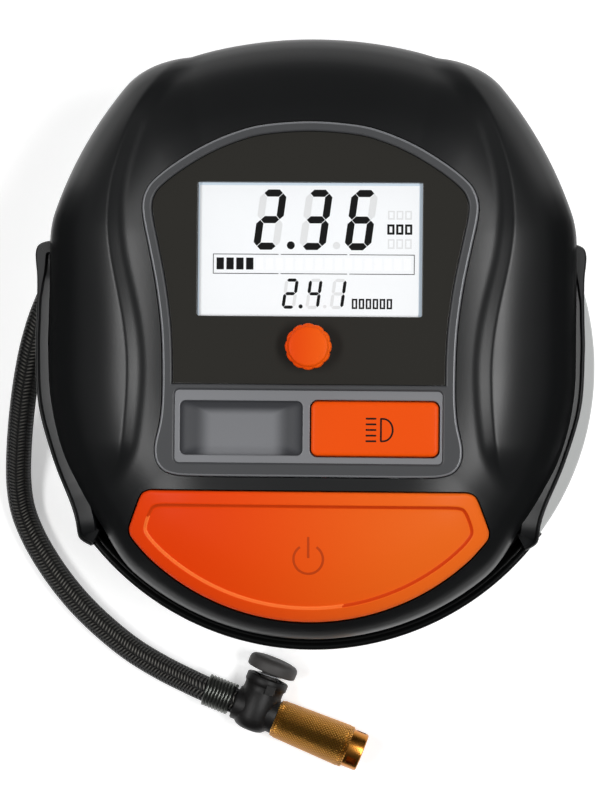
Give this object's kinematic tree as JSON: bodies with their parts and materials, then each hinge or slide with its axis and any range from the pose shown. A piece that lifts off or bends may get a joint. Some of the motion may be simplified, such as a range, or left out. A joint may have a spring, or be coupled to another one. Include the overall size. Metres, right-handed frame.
{
  "type": "tyre inflator",
  "caption": "Portable electric tyre inflator with a digital gauge, setting knob, light and power buttons, and a braided hose wound round its base.",
  "frame": {"origin": "middle of the unit's bounding box, on the plane of its feet, measured without the hose and what is on it", "axes": "+Z out of the display face, +Y towards the brow above the display, +X to the right when the display is read"},
  "size_m": [0.213, 0.2582, 0.086],
  "materials": {
    "pan": "fine satin grain",
    "rubber": "matt",
    "zinc_screw": "zinc plated",
    "shell": "fine grain with a soft sheen",
    "bezel": "satin grey",
    "window": "gloss, printed black border",
    "lcd": "clear glass over white",
    "white_plastic": "moulded",
    "circuit_board": "solder mask",
    "steel": "plated",
    "orange": "fine satin",
    "black_plastic": "moulded",
    "spring_steel": "drawn wire",
    "orange_red": "satin",
    "clear_lens": "clear, fluted",
    "motor_steel": "zinc plated",
    "ferrite": "sintered",
    "copper_iron": "laminated with copper windings",
    "brass": "machined",
    "die_cast": "as cast",
    "white_nylon": "moulded",
    "tube_plastic": "translucent",
    "wire_red": "insulated wire",
    "braid": "black braid over rubber with pale flecks",
    "dark_wire": "blackened wire"
  },
  "bodies": {
    "housing": {"rear_pan": "pan", "hose_drum": "pan", "rubber_feet": "rubber", "housing_screws": "zinc_screw", "front_shell": "shell", "bezel": "bezel", "window": "window", "display_panel": "lcd", "backlight": "white_plastic", "display_board": "circuit_board", "board_screws": "zinc_screw", "encoder_body": "steel", "light_switch": "black_plastic", "light_button_spring": "spring_steel", "power_switch": "black_plastic", "power_button_springs": "spring_steel", "work_light_lens": "clear_lens", "work_light_board": "circuit_board", "cord_gland": "rubber", "motor_can": "motor_steel", "motor_end_cap": "white_plastic", "motor_magnets": "ferrite", "motor_screws": "zinc_screw", "gearbox_frame": "die_cast", "frame_screws": "zinc_screw", "gear_axle": "steel", "axle_clip": "spring_steel", "cylinder": "die_cast", "valve_plate": "spring_steel", "cylinder_head": "die_cast", "head_screws": "zinc_screw", "outlet_fitting": "brass", "pressure_sensor": "black_plastic", "air_tube": "tube_plastic", "wire_harness": "wire_red", "hose_fitting": "brass", "hose_wound": "braid", "hose_free": "braid", "hose_spring": "dark_wire", "chuck_body": "black_plastic", "bleed_spring": "spring_steel", "chuck_collet": "brass", "chuck_seal": "rubber"},
    "encoder_press": {"encoder_plunger": "white_plastic"},
    "knob": {"encoder_shaft": "steel", "set_knob": "orange"},
    "light_button": {"light_button": "orange"},
    "power_button": {"power_button": "orange_red"},
    "rotor": {"motor_shaft": "steel", "motor_armature": "copper_iron", "motor_pinion": "brass", "cooling_fan": "black_plastic"},
    "gear": {"drive_gear": "white_nylon", "crank_pin": "steel"},
    "piston": {"connecting_rod": "die_cast", "wrist_pin": "steel", "piston": "die_cast", "piston_seal": "rubber"},
    "chuck_sleeve": {"chuck_sleeve": "brass"},
    "bleed_button": {"bleed_button": "black_plastic"}
  },
  "joints": [
    {"name": "encoder_push", "type": "slide", "parent": "housing", "child": "encoder_press", "axis": [0, 0, -1], "range_m": [0, 0.0005], "stiffness_N_per_m": 3000, "springref_m": -0.001},
    {"name": "knob_turn", "type": "hinge", "parent": "encoder_press", "child": "knob", "pos_m": [0, 0, 0.08], "axis": [0, 0, 1], "continuous": true},
    {"name": "light_button_press", "type": "slide", "parent": "housing", "child": "light_button", "axis": [0, 0, -1], "range_m": [0, 0.0012], "stiffness_N_per_m": 500, "springref_m": -0.002, "deforming": ["light_button_spring"]},
    {"name": "power_button_press", "type": "slide", "parent": "housing", "child": "power_button", "axis": [0, 0, -1], "range_m": [0, 0.002], "stiffness_N_per_m": 600, "springref_m": -0.003, "deforming": ["power_button_springs"]},
    {"name": "motor_spin", "type": "hinge", "parent": "housing", "child": "rotor", "pos_m": [0.034, 0, 0.03], "axis": [0, 1, 0], "continuous": true},
    {"name": "gear_spin", "type": "hinge", "parent": "housing", "child": "gear", "pos_m": [0.0059, 0.01, 0.03], "axis": [0, 1, 0], "continuous": true},
    {"name": "piston_slide", "type": "slide", "parent": "housing", "child": "piston", "axis": [1, 0, 0], "range_m": [-0.0076, 0.0063]},
    {"name": "sleeve_slide", "type": "slide", "parent": "housing", "child": "chuck_sleeve", "axis": [0.9304, -0.3665, 0], "range_m": [0, 0.0045]},
    {"name": "bleed_press", "type": "slide", "parent": "housing", "child": "bleed_button", "axis": [-0.3665, -0.9304, 0], "range_m": [0, 0.0017], "stiffness_N_per_m": 500, "springref_m": -0.002, "deforming": ["bleed_spring"]}
  ],
  "couplings": [
    {"joint": "gear_spin", "follows": "motor_spin", "ratio": -0.33333}
  ]
}
